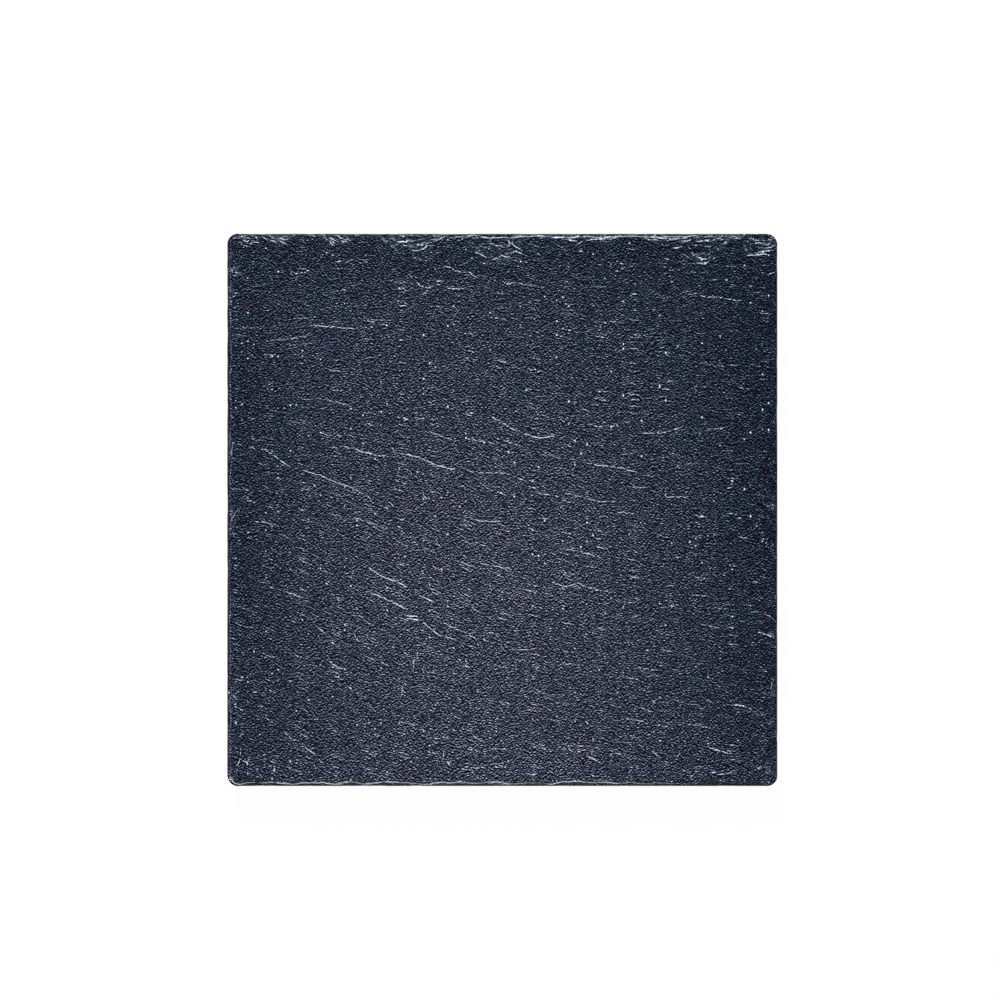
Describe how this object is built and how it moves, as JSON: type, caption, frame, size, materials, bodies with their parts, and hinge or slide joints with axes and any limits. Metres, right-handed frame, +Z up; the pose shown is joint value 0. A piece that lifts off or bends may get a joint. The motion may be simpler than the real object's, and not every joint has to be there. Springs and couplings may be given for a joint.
{
  "type": "drink coaster",
  "caption": "Square natural slate drink coaster with a riven top, chipped layered edges and rounded corners, on stick-on rubber feet.",
  "frame": {"origin": "on the table plane, under the middle of the slab", "axes": "+Z up out of the top face, +Y to the back edge, +X to the right edge"},
  "size_m": [0.1, 0.1004, 0.0072],
  "materials": {
    "slate": "riven, satin",
    "foot_rubber": "matte",
    "adhesive": "matte"
  },
  "bodies": {
    "root": {"slate_slab": "slate", "foot_front_left": "foot_rubber", "foot_front_right": "foot_rubber", "foot_back_left": "foot_rubber", "foot_back_right": "foot_rubber", "adhesive_front_left": "adhesive", "adhesive_front_right": "adhesive", "adhesive_back_left": "adhesive", "adhesive_back_right": "adhesive"}
  },
  "joints": []
}
